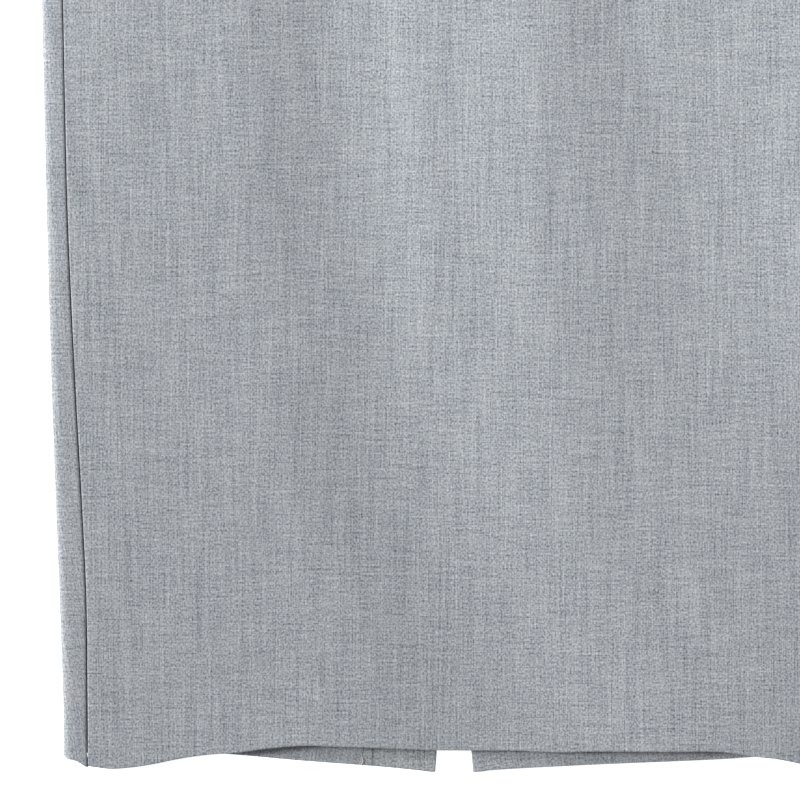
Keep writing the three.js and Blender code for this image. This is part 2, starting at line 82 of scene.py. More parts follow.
OUTLINE = table("up half inset right_rise left_rise", [
    (-14, 220.1, 13.4, 8.6, 11),
    (28, 220.7, 13.6, 8.6, 11.4),
    (85, 222.7, 15, 9.4, 11.8),
    (141, 224.9, 14.6, 9.9, 12.4),
    (197, 227, 13.6, 10.4, 12.8),
    (254, 228.7, 12.5, 10.8, 13),
    (310, 230.1, 11.7, 11.2, 13),
    (423, 232.6, 11.8, 11.8, 13),
    (450, 233, 11.8, 11.9, 13),
    (478, 231.5, 11.6, 12, 12.9),
    (513, 226.1, 11.3, 12, 12.6),
    (547, 216.1, 11.2, 12, 12.2),
    (577, 203.9, 11, 12, 12),
    (597, 195.6, 11, 12, 12),
    (630, 183.5, 11, 12, 12),
    (660, 173.6, 11, 12, 12),
])
FOLD_PLACES = table("up shoulder valley ridge hollow", [
    (-14, -48, 24, 148, 176),
    (31, -56, 16, 142, 170),
    (85, -74, -1, 118, 148),
    (144, -102, -28, 86, 120),
    (206, -108, -40, 74, 124),
    (268, -126, -52, 66, 132),
    (331, -126, -58, 57, 132),
    (400, -130, -64, 52, 108),
    (450, -138, -74, 50, 104),
    (520, -134, -76, 50, 104),
    (597, -118, -44, 38, 108),
    (650, -110, -40, 36, 104),
])
FOLD_TOPS = table("up shoulder valley ridge hollow", [
    (-14, 8.8, 6, 11.4, 11.6),
    (31, 8.8, 5.8, 11.6, 11.8),
    (85, 8.7, 5.1, 10.6, 11.6),
    (144, 9.1, 4.9, 11.2, 11.8),
    (206, 9.1, 4.8, 11.8, 11.4),
    (268, 9.3, 4.8, 12.5, 10.6),
    (331, 9.8, 4.8, 13, 9.8),
    (400, 10.4, 5, 13.7, 10.2),
    (450, 11.2, 6.4, 13.9, 11),
    (520, 12.3, 9.6, 14.2, 12.2),
    (597, 13.4, 14, 14.8, 14),
    (650, 13.6, 14.8, 15, 14),
])
FRONT_HEM = table("across dip", [
    (-208, 9.2), (-195, 10.8), (-183, 9.9), (-171, 8.1), (-160, 5.8), (-149, 3.9), (-137, 2.5),
    (-125, 1.8), (-115, 0.5), (-104, -0.9), (-92, -2), (-81, -2.3), (-69, -1.8), (-47, -1.2),
    (-30, -0.4), (-10, 0.3), (37, 0.7), (49, 1.2), (64, 1.5), (82, 1), (126, 1.1),
    (141, 0.8), (152, 1.1), (161, 2.2), (172, 3.9), (184, 5.3), (200, 8.4), (208, 9.4),
])
BACK_HEM = table("across dip", [
    (-213, 2.2), (-160, 1.4), (-132, 2.3), (-87, 6.2), (-42, 9.6), (-19, 11.8), (-11, 12.8),
    (11, 12.8), (20, 11.8), (37, 10.7), (82, 8.5), (150, 5.6), (185, 3.2), (213, 2.2),
])
print("outline rows:", len(OUTLINE["up"]), "fold rows:", len(FOLD_TOPS["up"]))

# %% [markdown]
# A smooth line has to run through the rows of a table, or the cloth would show a corner at each row. The
# reader below lays a cubic through them whose slope at a row is that of the line from the row before to
# the row after. It takes whole arrays, so that one call places a thousand points.

# %% Read a table along a smooth line
def mix(a, b, share):
    return a + (b - a) * share


def ease(share):
    share = np.clip(share, 0, 1)
    return share * share * (3 - 2 * share)


def read(columns, key, column, at):
    keys = columns[key]
    values = columns[column]
    last = len(keys) - 1
    before = np.maximum(np.arange(last + 1) - 1, 0)
    after = np.minimum(np.arange(last + 1) + 1, last)
    slopes = (values[after] - values[before]) / (keys[after] - keys[before])
    at = np.clip(at, keys[0], keys[last])
    i = np.clip(np.searchsorted(keys, at) - 1, 0, last - 1)
    span = keys[i + 1] - keys[i]
    t = (at - keys[i]) / span
    line = mix(values[i], values[i + 1], ease(t))
    return line + span * ((t**3 - 2 * t**2 + t) * slopes[i] + (t**3 - t**2) * slopes[i + 1])


# %% [markdown]
# ## The form of the laid skirt
#
# The sizes here are the ones that the solids were cut to. The front lies between the side seams as one
# soft, folded face. The small creases are on top of it: each is a low, straight trough or ridge that fades
# at both ends, set where the wool buckles a little.

# %% Sizes and the face of the front
FRONT_LENGTH = 630
BACK_LENGTH = 639
WAIST_DIP = 15
BACK_WAIST_DIP = 6
BAND_HEIGHT = 35
HEM_TURN_UP = 40
TURN_WIDTH = 7
TURN_POWER = 0.667
HEM_CURVE = 1.6
SEAM_GAP = 0.3
SLIT_LENGTH = 170
SLIT_HALF_GAP = 10.5
SLIT_CURVE = 1.3
FACING_WIDTH = 41.4
FACING_LENGTH = 200
DART_LENGTH = 95
DART_SHARE = 0.46
DART_DEPTH = 0.75
DART_HALF_WIDTH = 1.3
SLOT_LENGTH = 30
SLOT_EASE = 15
SLIDER_SLOT = 1.8
BACK_HEM_DIP = 12.8
MIDDLE_UP = (BACK_LENGTH + BACK_WAIST_DIP - BACK_HEM_DIP) / 2
CREASES = table("across up lean length width height", [
    (-19, 350, 0.05, 330, 14, 1.0),
    (-150, 330, -0.06, 160, 20, 0.25),
    (24, 250, 0.16, 150, 16, -0.22),
    (150, 330, 0.05, 170, 18, 0.3),
    (-96, 120, 0.22, 110, 15, -0.2),
    (60, 100, 0.30, 120, 17, 0.25),
    (-176, 90, 0.05, 110, 12, -0.22),
    (178, 140, -0.04, 130, 13, 0.28),
    (-120, 500, 0.34, 120, 14, 0.35),
    (110, 505, -0.30, 110, 14, -0.35),
    (4, 520, 0.05, 120, 18, 0.3),
    (-186, 455, 0.1, 70, 9, -0.3),
    (186, 450, -0.12, 80, 9, 0.3),
    (204, 320, 0.0, 400, 24, 1.3),
    (119, 410, 0.0, 110, 12, 0.5),
    (46, 330, 0.02, 240, 9, 0.35),
    (-187, 390, 0.0, 150, 14, 0.4),
])
CREASE_FADE = 1.5


def half_width(up):
    return read(OUTLINE, "up", "half", up)


def fold_rise(up, side):
    left = read(OUTLINE, "up", "left_rise", up)
    return np.where(np.asarray(side) > 0, left, read(OUTLINE, "up", "right_rise", up))


def seam_across(up):
    return half_width(up) - read(OUTLINE, "up", "inset", up)


def crease_height(across, up):
    height = 0 * across
    for x, y, lean, length, width, tall in np.array(list(CREASES.values())).T:
        along = (up - y) / (length / 2)
        beside = (across - x + lean * (up - y)) / width
        height = height + tall * np.exp(-beside**2) * ease(CREASE_FADE * (1 - np.abs(along)))
    return height


def front_height(across, up):
    edge = seam_across(up)
    folds = ("shoulder", "valley", "ridge", "hollow")
    places = [-edge, *(read(FOLD_PLACES, "up", fold, up) for fold in folds), edge]
    tops = [fold_rise(up, -1), *(read(FOLD_TOPS, "up", fold, up) for fold in folds), fold_rise(up, 1)]
    height = tops[0]
    for i in range(len(places) - 1):
        share = (across - places[i]) / (places[i + 1] - places[i])
        height = height + (tops[i + 1] - tops[i]) * ease(share)
    return height


hip_middle = float(front_height(np.array(0.0), np.array(450.0)))
print("front height at the middle of the hip:", round(hip_middle, 1), "mm")

# %% [markdown]
# ## One way to lay every piece
#
# Each cut piece of the skirt is a sheet with four edges. An edge that is sewn rolls down into its seam, and
# an edge that is hemmed turns over and comes back behind. So a column or a row of the sheet is a place on
# the face, then a step along it, a step into it, and which way the cloth faces there. A plain grid is added
# with its UV map, its points are laid by that rule, and the UV map is set to real cloth metres, so that the
# weave follows the cloth round a fold. Solidify then gives the wool its thickness on the inner side.
#
# A bend is pressed by an iron, so it isn't a true quarter circle. A press below 1 squares its corner: a hem
# and the edge of the slit are pressed hard, and a seam that was pressed open is softer.

# %% Rows and columns of a sheet
WOOL = 1.1
ROLL = 1.25
TURN = 1.2
SEAM_DEPTH = 1.1
SOFT_PRESS = 0.93
SEAM_PRESS = 0.7
HEM_PRESS = 0.62
HARD_PRESS = 0.55


def spread(start, stop, step):
    return np.linspace(start, stop, max(2, round(abs(stop - start) / step) + 1))


def flat_steps(places):
    return [(place, 0, 0, 1) for place in places]


def squared(angle, press):
    cosine = math.cos(angle)
    return math.sin(angle) ** press, 1 - math.copysign(abs(cosine) ** press, cosine)


def rolled(place, direction, depth=SEAM_DEPTH, press=SOFT_PRESS):
    bends = [squared(math.radians(angle), press) for angle in (12, 28, 44, 60, 76, 90)]
    steps = [(place, direction * ROLL * out, ROLL * down, 1) for out, down in bends]
    return steps + [(place, direction * ROLL, ROLL + depth, 1)]


def turned(place, direction, length, step):
    steps = []
    for angle in np.radians([4, 14, 28, 46, 68, 90, 112, 134, 152, 166]):
        out, down = squared(angle, HEM_PRESS)
        steps.append((place, direction * TURN * out, TURN * down, math.cos(angle)))
    inside = spread(place, place - direction * length, step)
    return steps + [(inner, 0, 2 * TURN, -1) for inner in inside]


# %% [markdown]
# The form of a piece is a function from a place across and along it to a point. Two nearby points give the
# direction in which the cloth runs there, and the cross product of two directions the way it faces. A step
# along the cloth or into it then follows these directions. Where a rolled side meets a turned hem, the side
# is drawn in, or the corner would stick out.

# %% Lay a sheet by its rows and columns
NEAR = 1e-4
NEAR_MM = 0.02
DRAWN_CORNER = 0.85


def deselect():
    bpy.ops.object.select_all(action="DESELECT")


def unit(steps):
    return steps / np.linalg.norm(steps, axis=-1, keepdims=True)


def lay_points(face, columns, rows, mirror):
    place_c, along_c, into_c, _ = (np.array(part, float)[None, :] for part in zip(*columns))
    place_r, along_r, into_r, facing = (np.array(part, float)[:, None] for part in zip(*rows))
    place_c, place_r = np.broadcast_arrays(place_c, place_r)
    here = face(place_c, place_r)
    tangent_c = unit(face(place_c + NEAR, place_r) - face(place_c - NEAR, place_r))
    tangent_r = unit(face(place_c, place_r + NEAR_MM) - face(place_c, place_r - NEAR_MM))
    outward = unit(np.cross(tangent_c, tangent_r)) * (-1 if mirror else 1)
    folded = into_r + facing * np.minimum(into_c, TURN) + (1 + facing) / 2 * np.maximum(into_c - TURN, 0)
    into = np.where(facing == 1, np.maximum(into_r, into_c), folded)
    drawn_in = 1 - DRAWN_CORNER * np.minimum(into_c / ROLL, 1)
    along_r = along_r * np.where(facing == 1, 1, drawn_in)
    points = here + along_c[..., None] * tangent_c + along_r[..., None] * tangent_r
    return points - into[..., None] * outward


def cloth_metres(points, column, row):
    across = np.linalg.norm(np.diff(points, axis=1), axis=-1).cumsum(axis=1)
    across = np.pad(across, ((0, 0), (1, 0)))
    across = across - across[:, column:column + 1] + points[:, column:column + 1, 0]
    along = np.linalg.norm(np.diff(points, axis=0), axis=-1).cumsum(axis=0)
    along = np.pad(along, ((1, 0), (0, 0)))
    along = along - along[row:row + 1] + points[row:row + 1, :, 1]
    return across * MM, along * MM


def lay_sheet(name, face, columns, rows, column=0, row=0, mirror=False):
    if mirror:
        columns = columns[::-1]
        column = len(columns) - 1 - column
    wide = len(columns) - 1
    high = len(rows) - 1
    deselect()
    bpy.ops.mesh.primitive_grid_add(x_subdivisions=wide, y_subdivisions=high, size=1, calc_uvs=True)
    sheet = bpy.context.object
    sheet.name = sheet.data.name = name
    points = lay_points(face, columns, rows, mirror)
    across, along = cloth_metres(points, column, row)
    spots = np.empty(len(sheet.data.vertices) * 3)
    sheet.data.vertices.foreach_get("co", spots)
    spots = spots.reshape(-1, 3)
    c = np.rint((spots[:, 0] + 0.5) * wide).astype(int)
    r = np.rint((spots[:, 1] + 0.5) * high).astype(int)
    laid = points[r, c] * MM - np.array([0, MIDDLE_UP * MM, 0])
    sheet.data.vertices.foreach_set("co", laid.ravel())
    corner = np.empty(len(sheet.data.loops), int)
    sheet.data.loops.foreach_get("vertex_index", corner)
    uv = np.stack([across[r, c][corner], along[r, c][corner]], axis=1)
    sheet.data.uv_layers.active.data.foreach_set("uv", uv.ravel())
    sheet.data.update()
    return sheet


def thicken(sheet, thickness=WOOL):
    solidify = sheet.modifiers.new("wool", "SOLIDIFY")
    solidify.thickness = thickness * MM
    solidify.offset = -1
    deselect()
    sheet.select_set(True)
    bpy.context.view_layer.objects.active = sheet
    bpy.ops.object.modifier_apply(modifier="wool")
    bpy.ops.object.shade_smooth_by_angle(angle=math.radians(50))
    print(sheet.name, len(sheet.data.vertices), "points")
    return sheet


# %% [markdown]
# ## The front panel
#
# The front is the face that the eye meets first. It hangs from the waist seam to a hem that is turned up
# 40 mm and sewn from the inside. Its hem isn't straight on the table: it drops at both side seams and rides
# up a little over a fold. Two darts shape the waist, each a stitched line that fades out over the hip, where
# the cloth puffs a little round the end of the stitching. The side seam opens at the top for the slider.

# %% Say where the side seams open and the darts dip
CLOTH_STEP = 3.2
DRAWN_IN = 0.16
CREASE_MARGIN = 14
PUFF_HEIGHT = 0.5
PUFF_HALF_WIDTH = 14
PUFF_HALF_LENGTH = 30
front_seam = FRONT_LENGTH - BAND_HEIGHT
side_top = FRONT_LENGTH + WAIST_DIP


def side_gap(up, with_zip):
    if not with_zip:
        return SEAM_GAP / 2
    return mix(SEAM_GAP, SLIDER_SLOT, ease((up - (side_top - SLOT_LENGTH)) / SLOT_EASE)) / 2


def dart_depth(across, up):
    above_tip = up - (front_seam - DART_LENGTH)
    beside = np.abs(across) - DART_SHARE * seam_across(up)
    stitched = np.sqrt(np.clip(above_tip / DART_LENGTH, 0, 1)) * np.exp(-((beside / DART_HALF_WIDTH) ** 2))
    puff = np.exp(-((beside / PUFF_HALF_WIDTH) ** 2)) * np.exp(-((above_tip / PUFF_HALF_LENGTH) ** 2))
    return DART_DEPTH * stitched - PUFF_HEIGHT * puff


def front_face(low, high, length, with_darts):
    def face(share, along):
        up = mix(low(share), high(share), along / length)
        edge = seam_across(up) - np.where(share > 0, side_gap(up, True), side_gap(up, False) + DRAWN_IN)
        across = share * (edge - ROLL)
        fade = ease((edge - np.abs(across)) / CREASE_MARGIN)
        height = front_height(across, up) + fade * crease_height(across, up)
        if with_darts:
            height = height - dart_depth(across, up)
        return np.stack([across, up, height], axis=-1)
    return face


def front_low(share):
    return -read(FRONT_HEM, "across", "dip", share * float(seam_across(np.array(0.0))))


def front_high(share):
    return front_seam + WAIST_DIP * share**2 - SEAM_GAP / 2


# %% [markdown]
# Each finished sheet takes the place of its solid and rides on the skirt. The front is then one sheet: the
# hem's inner layer, the turn at the hem, the face, and the roll into the waist seam.

# %% Make the front panel
HALF_FRONT = 205
HEM_STEP = 6


def front_columns(step):
    left = rolled(1, 1, press=SEAM_PRESS)
    right = [(-place, -along, into, facing) for place, along, into, facing in left]
    return right[::-1] + flat_steps(spread(-1, 1, step / HALF_FRONT)) + left


def dress(piece, node, thickness=WOOL):
    thicken(piece, thickness)
    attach(piece, SKIRT)
    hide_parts(node)


hem_rows = turned(TURN, -1, HEM_TURN_UP - TURN, HEM_STEP)[::-1]
face_rows = flat_steps(spread(TURN, front_seam - ROLL, CLOTH_STEP))
panel_rows = hem_rows + face_rows + rolled(front_seam - ROLL, 1)
columns = front_columns(CLOTH_STEP)
front_shape = front_face(front_low, front_high, front_seam, True)
front = lay_sheet("front_cloth", front_shape, columns, panel_rows, len(columns) // 2, len(hem_rows) + 1)
dress(front, "front_panel")

# %% [markdown]
# ## The two back panels
#
# Each back panel lies flat on the table from the centre back, turns up round the side fold, and reaches
# the side seam on the front. So a place on it runs over the top from 0 at the seam to OVER, round half of a
# squared ellipse to ROUND, and along the floor to CENTRE at the centre back. At the hem the centre back is
# open: the edges of the slit spread apart in a narrow, curved gap.

# %% Say how a back panel runs from seam to slit
OVER, ROUND, CENTRE = 1.0, 2.0, 3.0
CLIMB_ROUND_FOLD = 0.7
back_seam = BACK_LENGTH - BAND_HEIGHT


def slit_gap(up):
    share = np.clip(1 - (up + BACK_HEM_DIP) / SLIT_LENGTH, 0, 1)
    return SEAM_GAP / 2 + SLIT_HALF_GAP * share**SLIT_CURVE


def back_path(place, up, centre, side):
    straight = half_width(up) - TURN_WIDTH
    tall = fold_rise(up, side) / 2
    seam = seam_across(up) + np.where(np.asarray(side) > 0, side_gap(up, True), side_gap(up, False))
    angle = np.radians(90 - 180 * np.clip(place - OVER, 0, 1))
    over = mix(seam + ROLL, straight, place)
    around = straight + TURN_WIDTH * np.abs(np.cos(angle)) ** TURN_POWER
    turn_height = tall + tall * np.sign(np.sin(angle)) * np.abs(np.sin(angle)) ** TURN_POWER
    floor = mix(straight, centre, place - ROUND)
    across = np.where(place < OVER, over, np.where(place < ROUND, around, floor))
    height = np.where(place < OVER, 2 * tall, np.where(place < ROUND, turn_height, 0))
    return np.stack([across * side, up, height], axis=-1)


# %% [markdown]
# The back's hem has its own line on the table. From the side fold it climbs to the front's hem at the side
# seam, most of the way round the fold and the rest over the top. The top edge dips towards the centre back.

# %% Make the back panels
BACK_STEP = 4.2
BACK_ROW_STEP = 4.5
ROUND_STEPS = 16
TOP_STEPS = 3
HALF_BACK = 210
floor_run = float(half_width(np.array(0.0))) - TURN_WIDTH


def back_shares(place):
    floor = np.clip(CENTRE - place, 0, 1)
    over_top = mix(1, CLIMB_ROUND_FOLD, place)
    around = np.where(place < OVER, over_top, CLIMB_ROUND_FOLD * np.clip(ROUND - place, 0, 1))
    return floor, around


def back_low(side):
    at_seam = float(front_low(np.array(float(side))))

    def low(place):
        floor, around = back_shares(place)
        on_floor = -read(BACK_HEM, "across", "dip", side * mix(SLIT_HALF_GAP, floor_run, floor))
        return mix(on_floor, at_seam, around**HEM_CURVE)
    return low


def back_high(place):
    floor, _ = back_shares(place)
    return back_seam + BACK_WAIST_DIP * floor**2


def back_face(side):
    low = back_low(side)

    def face(place, along):
        up = mix(low(place), back_high(place) - SEAM_GAP / 2, along / back_seam)
        return back_path(place, up, slit_gap(up) + ROLL, side)
    return face


def turned_round(steps):
    return [(place, -along, into, facing) for place, along, into, facing in steps][::-1]


def seam_columns():
    over = flat_steps(spread(0, OVER, 1 / TOP_STEPS))
    around = flat_steps(spread(OVER, ROUND, 1 / ROUND_STEPS)[1:])
    floor = flat_steps(spread(ROUND, CENTRE, BACK_STEP / HALF_BACK)[1:])
    return turned_round(rolled(0, 1)) + over + around + floor


face_rows = flat_steps(spread(TURN, back_seam - ROLL, BACK_ROW_STEP))
back_rows = hem_rows + face_rows + rolled(back_seam - ROLL, 1)
columns = seam_columns() + rolled(CENTRE, 1, 0, HARD_PRESS)
laid_from = (len(columns) - 1, len(hem_rows) + 1)
back_left = lay_sheet("back_cloth_left", back_face(1), columns, back_rows, *laid_from)
back_right = lay_sheet("back_cloth_right", back_face(-1), columns, back_rows, *laid_from, mirror=True)
print("slit opens", round(2 * float(slit_gap(np.array(-BACK_HEM_DIP))), 1), "mm at the hem")

# %% [markdown]
# On the wearer's right the slit has a facing: the panel's own edge is turned back over the inside, as wide
# as three fingers, and it lies where the other panel has its hem. So the inner layer of the hem is cut
# away there. The faces are found by their place, in edit mode, and deleted before the cloth gets its
# thickness.

# %% Cut the hem back under the facing and dress both panels
INNER_LAYER = 1.25


def up_of(point):
    return point.y / MM + MIDDLE_UP


def delete_faces(piece, chosen):
    deselect()
    piece.select_set(True)
    bpy.context.view_layer.objects.active = piece
    bpy.ops.object.mode_set(mode="EDIT")
    bpy.ops.mesh.select_mode(type="FACE")
    bpy.ops.mesh.select_all(action="DESELECT")
    bpy.ops.object.mode_set(mode="OBJECT")
    for face in piece.data.polygons:
        face.select = bool(chosen(face.center))
    bpy.ops.object.mode_set(mode="EDIT")
    bpy.ops.mesh.delete(type="FACE")
    bpy.ops.object.mode_set(mode="OBJECT")


def under_facing(spot):
    inner_edge = -float(slit_gap(np.array(up_of(spot)))) - FACING_WIDTH
    inner_layer = spot.z > INNER_LAYER * MM and up_of(spot) < HEM_TURN_UP + TURN
    return inner_layer and spot.x > inner_edge * MM


delete_faces(back_right, under_facing)
dress(back_left, "back_panel_left")
dress(back_right, "back_panel_right")

# %% [markdown]
# ## The facing of the slit
#
# The facing is a strip of the same wool. Its long edge is turned under by 5 mm, which shows as a low ridge,
# and its other edge folds down to the slit. Its corner at the hem is rolled over the panel's edge.

# %% Make the slit facing
FACING_HEIGHT = 2.45
FACING_ABOVE_HEM = 0.2
RIDGE_HEIGHT = 0.35
RIDGE_WIDTH = 6
RIDGE_SLOPE = 1.4
NEAR_RIDGE = 0.2
RIDGE_STEP = 0.016
FACING_STEP = 0.1


def facing_face(share, along):
    edge = -(SLIT_HALF_GAP + mix(FACING_WIDTH, 0, share))
    bottom = FACING_ABOVE_HEM - read(BACK_HEM, "across", "dip", edge)
    up = mix(bottom, FACING_LENGTH - BACK_HEM_DIP, along / FACING_LENGTH)
    off = mix(FACING_WIDTH, ROLL, share)
    ridge = RIDGE_HEIGHT * ease((off - FACING_WIDTH + RIDGE_WIDTH) / RIDGE_SLOPE)
    return np.stack([-(slit_gap(up) + off), up, FACING_HEIGHT + ridge], axis=-1)


facing_columns = flat_steps(spread(0, NEAR_RIDGE, RIDGE_STEP))
facing_columns += flat_steps(spread(NEAR_RIDGE, 1, FACING_STEP)[1:]) + rolled(1, 1, 0, HARD_PRESS)
facing_rows = turned_round(rolled(ROLL, 1, 0)) + flat_steps(spread(ROLL, FACING_LENGTH, BACK_ROW_STEP))
facing = lay_sheet("facing_cloth", facing_face, facing_columns, facing_rows)
dress(facing, "slit_facing")

# %% [markdown]
# ## The waistband
#
# The band is wool folded over at the top and sewn down at the waist seam, so it is two layers thick. It is
# cut as a front piece and a back piece that meet at the side seams. The back piece runs round both side
# folds and lies on the table between them.

# %% Make the waistband
BAND_STEP = 3.4
BAND_ROW_STEP = 2.6
BAND_INNER_STEP = 5


def band_low(share):
    return front_seam + WAIST_DIP * share**2 + SEAM_GAP / 2


def band_high(share):
    return front_seam + WAIST_DIP * share**2 + BAND_HEIGHT


def back_band_face(place, along):
    side = np.where(place > CENTRE, -1, 1)
    place = np.where(place > CENTRE, 2 * CENTRE - place, place)
    up = back_high(place) + mix(SEAM_GAP / 2, BAND_HEIGHT, along / BAND_HEIGHT)
    return back_path(place, up, 0 * up, side)


columns = front_columns(BAND_STEP)
seam_rows = turned_round(rolled(ROLL, 1))
face_rows = flat_steps(spread(ROLL, BAND_HEIGHT - TURN, BAND_ROW_STEP))
folded_rows = turned(BAND_HEIGHT - TURN, 1, BAND_HEIGHT - 3 * TURN, BAND_INNER_STEP)
rows = seam_rows + face_rows + folded_rows
band_shape = front_face(band_low, band_high, BAND_HEIGHT, False)
band_front = lay_sheet("band_cloth_front", band_shape, columns, rows, len(columns) // 2, len(seam_rows))
dress(band_front, "waistband_front")
half_round = seam_columns()
other_half = [(2 * CENTRE - place, -along, into, way) for place, along, into, way in half_round[:-1]][::-1]
columns = half_round + other_half
band_back = lay_sheet("band_cloth_back", back_band_face, columns, rows, len(half_round) - 1, len(seam_rows))
dress(band_back, "waistband_back")

# %% [markdown]
# ## The zip
#
# A skirt like this closes with an invisible zip in its left side seam. Its two tapes lie inside, one under
# the front and one under the back, and the coil of teeth turns inwards between them. Only the little pull
# shows, at the band. The tapes are narrow sheets. One loop of the coil is a small ring, copied down the
# opening into one mesh.

# %% Make the zip's tapes
ZIP_LENGTH = 180
TAPE_WIDTH = 7.5
BACK_TAPE_WIDTH = 3.6
TAPE_FROM_SEAM = 1
TAPE_BELOW_TOP = 4
TAPE_STEP = 4
TAPE_COLUMN_STEP = 1.5
TAPE = 0.7
SEAM_DIP = 0.6
CLOTH_WALL = 1.2
SLOPE_BELOW_BAND = 12
SLOPE_LENGTH = 10


def tape_height(up):
    doubled = ease((up - (side_top - BAND_HEIGHT - SLOPE_BELOW_BAND)) / SLOPE_LENGTH)
    return fold_rise(up, 1) - SEAM_DIP - CLOTH_WALL * (1 + doubled) - SEAM_GAP


def tape_face(off, up):
    return np.stack([seam_across(up) + off, up, tape_height(up)], axis=-1)


def make_tape(name, node, inner, outer):
    columns = flat_steps(spread(inner, outer, TAPE_COLUMN_STEP))
    rows = flat_steps(spread(side_top - ZIP_LENGTH, side_top - TAPE_BELOW_TOP, TAPE_STEP))
    tape = lay_sheet(name, tape_face, columns, rows)
    dress(tape, node, TAPE)
    return tape


tape_front = make_tape("tape_front", "zip_tape_front", -TAPE_WIDTH - TAPE_FROM_SEAM, -TAPE_FROM_SEAM)
tape_back = make_tape("tape_back", "zip_tape_back", TAPE_FROM_SEAM, TAPE_FROM_SEAM + BACK_TAPE_WIDTH)

# %% [markdown]
# The coil is one long spiral of nylon on a real zip. Seen from outside it is only a row of small loops, so
# each loop is a ring of its own. The slider covers the last of them.

# %% Make the coil of the zip
COIL_RADIUS = 0.85
COIL_WIRE = 0.28
LOOP_PITCH = 0.85
COIL_BELOW_TAPE = 1.6
COIL_ABOVE_END = 2
COIL_BELOW_TOP = 16


def finish_shape(piece, angle=40):
    deselect()
    piece.select_set(True)
    bpy.context.view_layer.objects.active = piece
    bpy.ops.object.transform_apply(location=True, rotation=True, scale=True)
    bpy.ops.object.shade_smooth_by_angle(angle=math.radians(angle))


deselect()
bpy.ops.mesh.primitive_torus_add(
    major_segments=10, minor_segments=5, major_radius=COIL_RADIUS * MM, minor_radius=COIL_WIRE * MM,
    rotation=(math.pi / 2, 0, 0),
)
coil = bpy.context.object
coil.name = coil.data.name = "zip_coil"
bpy.ops.object.transform_apply(location=False, rotation=True, scale=False)
ring = bmesh.new()
ring.from_mesh(coil.data)
loops = bmesh.new()
for up in np.arange(side_top - ZIP_LENGTH + COIL_ABOVE_END, side_top - COIL_BELOW_TOP, LOOP_PITCH):
    height = float(tape_height(np.array(up))) - COIL_BELOW_TAPE
    shift = Vector((float(seam_across(np.array(up))), up - MIDDLE_UP, height)) * MM
    spots = [loops.verts.new(vert.co + shift) for vert in ring.verts]
    for face in ring.faces:
        loops.faces.new([spots[vert.index] for vert in face.verts])
loops.to_mesh(coil.data)
ring.free()
loops.free()
finish_shape(coil, 60)
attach(coil, SKIRT)
print("coil faces:", len(coil.data.polygons))

# %% [markdown]
# Every cloth piece was flat before it was sewn.

# %% [markdown]
# The slider and its pull are small castings. Their solids have the right form but sharp edges, and a real
# casting is tumbled until no edge is sharp. So each is copied, its loose triangles are merged and dissolved
# to flat faces, and a fine bevel goes round every edge.

# %% Round the edges of the slider and the pull
SMALL_BEVEL = 0.12
PULL_BEVEL = 0.14


def softened(node, name, body, width):
    deselect()
    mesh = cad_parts[node].data.copy()
    mesh.materials.clear()
    piece = bpy.data.objects.new(name, mesh)
    bpy.context.collection.objects.link(piece)
    piece.select_set(True)
    bpy.context.view_layer.objects.active = piece
    bpy.ops.object.mode_set(mode="EDIT")
    bpy.ops.mesh.select_all(action="SELECT")
    bpy.ops.mesh.remove_doubles(threshold=1e-6)
    bpy.ops.mesh.dissolve_limited(angle_limit=math.radians(4))
    bpy.ops.object.mode_set(mode="OBJECT")
    bevel = piece.modifiers.new("edge", "BEVEL")
    bevel.width = width * MM
    bevel.segments = 2
    bevel.limit_method = "ANGLE"
    bevel.angle_limit = math.radians(35)
    bpy.ops.object.modifier_apply(modifier="edge")
    finish_shape(piece, 35)
    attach(piece, body)
    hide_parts(node)
    print(name, len(piece.data.polygons), "faces")
    return piece


slider = softened("zip_slider", "slider_casting", SKIRT, SMALL_BEVEL)
pull = softened("zip_pull", "pull_casting", PULL, PULL_BEVEL)

# %% [markdown]
# ## Threads that show
#
# A close look finds small things on worn wool: a thread end that sticks out of the facing at the hem, a
# speck of white lint on the front, and a dark knot in the yarn. A thread is a short curve with a round
# section, made a mesh once its bends are right.

# %% Make the thread end, the lint and the knot
def thread(name, points, radius):
    deselect()
    bpy.ops.curve.primitive_bezier_curve_add()
    curve = bpy.context.object
    curve.name = curve.data.name = name
    line = curve.data.splines[0]
    line.bezier_points.add(len(points) - 2)
    for knot, point in zip(line.bezier_points, points):
        knot.co = Vector(point) * MM
        knot.handle_left_type = knot.handle_right_type = "AUTO"
    curve.data.bevel_depth = radius * MM
    curve.data.bevel_resolution = 2
    curve.data.use_fill_caps = True
    bpy.ops.object.convert(target="MESH")
    finish_shape(curve, 60)
    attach(curve, SKIRT)
    return curve


def on_front(bends):
    laid = []
    for across, up, above in bends:
        at = float(front_height(np.array(float(across)), np.array(float(up))))
        laid.append((across, up - MIDDLE_UP, at + above))
    return laid


facing_edge = -(SLIT_HALF_GAP + FACING_WIDTH)
end_bends = [(0, -4, 2.7), (0.4, -6.6, 3.3), (-0.3, -8.4, 3.2), (0.5, -9.4, 2.9)]
end_points = [(facing_edge + off, up - MIDDLE_UP, height) for off, up, height in end_bends]
lint_points = on_front([(161.2, 346.4, 0.25), (162, 345.6, 0.6), (162.6, 346, 0.3)])
knot_points = on_front([(111.4, 337.6, 0.05), (111.8, 337.2, 0.25), (112.1, 336.6, 0.05)])
thread_end = thread("thread_end", end_points, 0.16)
lint = thread("lint", lint_points, 0.22)
knot = thread("yarn_knot", knot_points, 0.2)
print("threads:", thread_end.name, lint.name, knot.name)

